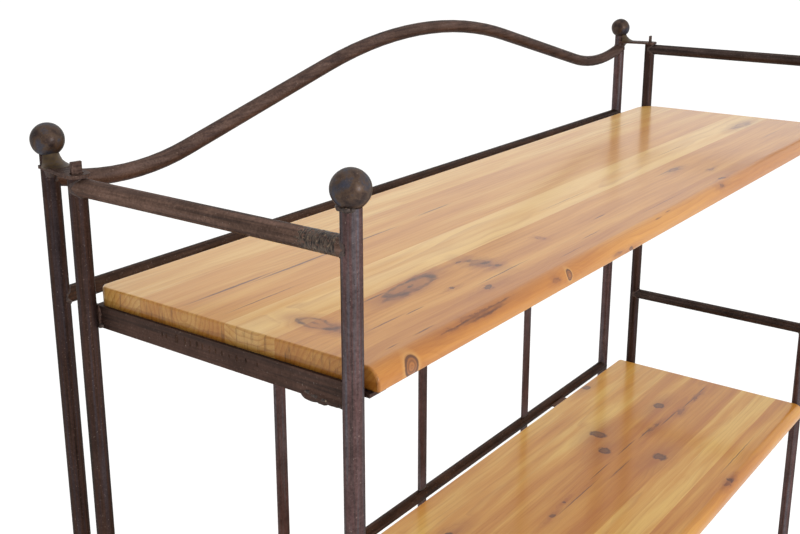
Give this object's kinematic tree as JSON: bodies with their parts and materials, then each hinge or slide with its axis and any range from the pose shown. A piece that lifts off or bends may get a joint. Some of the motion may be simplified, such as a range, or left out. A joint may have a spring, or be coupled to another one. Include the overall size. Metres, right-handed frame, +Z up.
{
  "type": "bakers rack",
  "caption": "Free-standing shelf rack: an arched iron back panel with ball finials hooks onto iron side frames, which carry loose pine board shelves.",
  "frame": {"origin": "on the floor under the middle of the rack", "axes": "+Z up, +X to the right seen from the front, +Y from the front to the back panel"},
  "size_m": [1.185, 0.373, 1.7386],
  "materials": {
    "iron": "dark brown patina on mill iron, waxed, welds left as laid",
    "pine": "edge-glued pine staves under clear gloss lacquer"
  },
  "bodies": {
    "left_frame": {"angle_1_left": "iron", "angle_2_left": "iron", "angle_3_left": "iron", "angle_4_left": "iron", "front_ball_left": "iron", "front_post_left": "iron", "guard_rail_2_left": "iron", "guard_rail_3_left": "iron", "guard_rail_4_left": "iron", "rear_post_left": "iron", "side_rail_left": "iron", "tongue_left": "iron"},
    "back_panel": {"arch": "iron", "back_ball_left": "iron", "back_ball_right": "iron", "back_post_left": "iron", "back_post_right": "iron", "back_rail_1": "iron", "back_rail_2": "iron", "back_rail_3": "iron", "back_rail_4": "iron", "bar_2_left": "iron", "bar_2_middle": "iron", "bar_2_right": "iron", "bar_3_left": "iron", "bar_3_middle": "iron", "bar_3_right": "iron", "bar_4_left": "iron", "bar_4_middle": "iron", "bar_4_right": "iron", "hook_plate_left": "iron", "hook_plate_right": "iron", "tab_1_left": "iron", "tab_1_right": "iron", "tab_2_left": "iron", "tab_2_right": "iron", "tab_3_left": "iron", "tab_3_right": "iron", "tab_4_left": "iron", "tab_4_right": "iron"},
    "right_frame": {"angle_1_right": "iron", "angle_2_right": "iron", "angle_3_right": "iron", "angle_4_right": "iron", "front_ball_right": "iron", "front_post_right": "iron", "guard_rail_2_right": "iron", "guard_rail_3_right": "iron", "guard_rail_4_right": "iron", "rear_post_right": "iron", "side_rail_right": "iron", "tongue_right": "iron"},
    "shelf_1": {"shelf_1": "pine"},
    "shelf_2": {"shelf_2": "pine"},
    "shelf_3": {"shelf_3": "pine"},
    "shelf_4": {"shelf_4": "pine"}
  },
  "joints": [
    {"name": "back_panel_lift", "type": "slide", "parent": "left_frame", "child": "back_panel", "axis": [0, 0, 1], "range_m": [0, 0.03]},
    {"name": "right_frame_drop", "type": "slide", "parent": "back_panel", "child": "right_frame", "axis": [0, 0, -1], "range_m": [0, 0.03]},
    {"name": "shelf_1_pull", "type": "slide", "parent": "back_panel", "child": "shelf_1", "axis": [0, -1, 0], "range_m": [0, 0.33]},
    {"name": "shelf_2_pull", "type": "slide", "parent": "back_panel", "child": "shelf_2", "axis": [0, -1, 0], "range_m": [0, 0.33]},
    {"name": "shelf_3_pull", "type": "slide", "parent": "back_panel", "child": "shelf_3", "axis": [0, -1, 0], "range_m": [0, 0.33]},
    {"name": "shelf_4_pull", "type": "slide", "parent": "back_panel", "child": "shelf_4", "axis": [0, -1, 0], "range_m": [0, 0.33]}
  ],
  "couplings": [
    {"joint": "right_frame_drop", "follows": "back_panel_lift", "ratio": 1}
  ]
}
